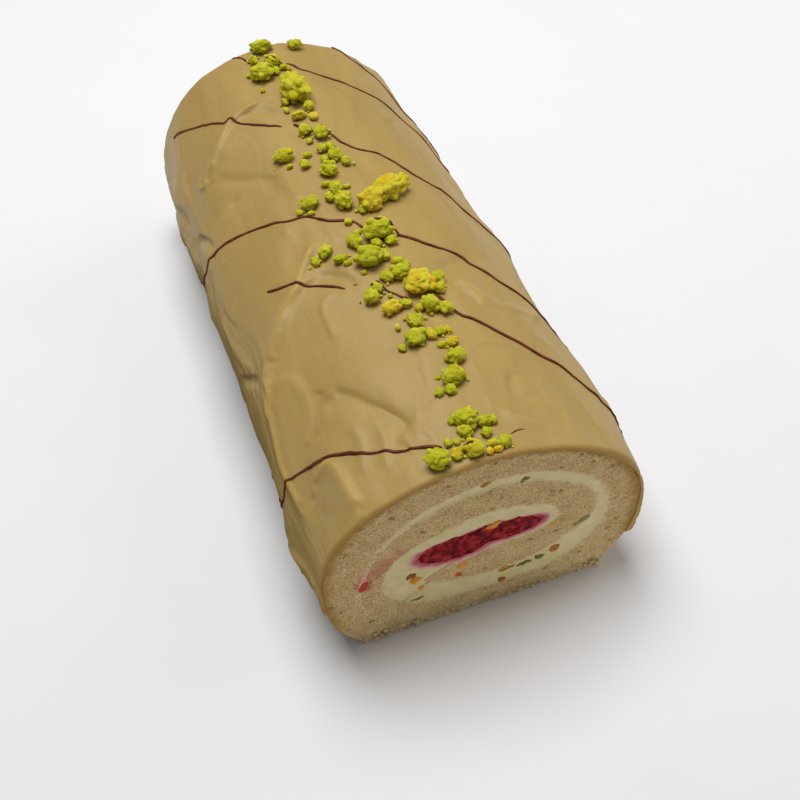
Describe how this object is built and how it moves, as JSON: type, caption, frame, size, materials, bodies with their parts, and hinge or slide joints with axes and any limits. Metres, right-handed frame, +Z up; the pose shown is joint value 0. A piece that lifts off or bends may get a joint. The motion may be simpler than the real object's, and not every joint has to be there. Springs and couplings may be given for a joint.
{
  "type": "swiss roll cake",
  "caption": "Swiss roll cake: a sponge sheet rolled up with cream round a strip of berry jam, coated with a thin glaze that carries a line of cake crumbs.",
  "frame": {"origin": "middle of the flat base that the cake rests on", "axes": "+Y along the roll, from the cut end with the jam facing the viewer to the other cut end; +Z up; +X across the roll"},
  "size_m": [0.1331, 0.279, 0.0981],
  "materials": {
    "sponge_cake": "open-pored pale baked sponge, fully matt",
    "white_cream": "smooth whipped cream, soft satin",
    "berry_jam": "moist dark red jam with seeds and fruit flesh",
    "caramel_glaze": "set pale caramel chocolate glaze, satin, with green cake crumbs"
  },
  "bodies": {
    "root": {"sponge": "sponge_cake", "cream": "white_cream", "jam": "berry_jam", "glaze": "caramel_glaze"}
  },
  "joints": []
}
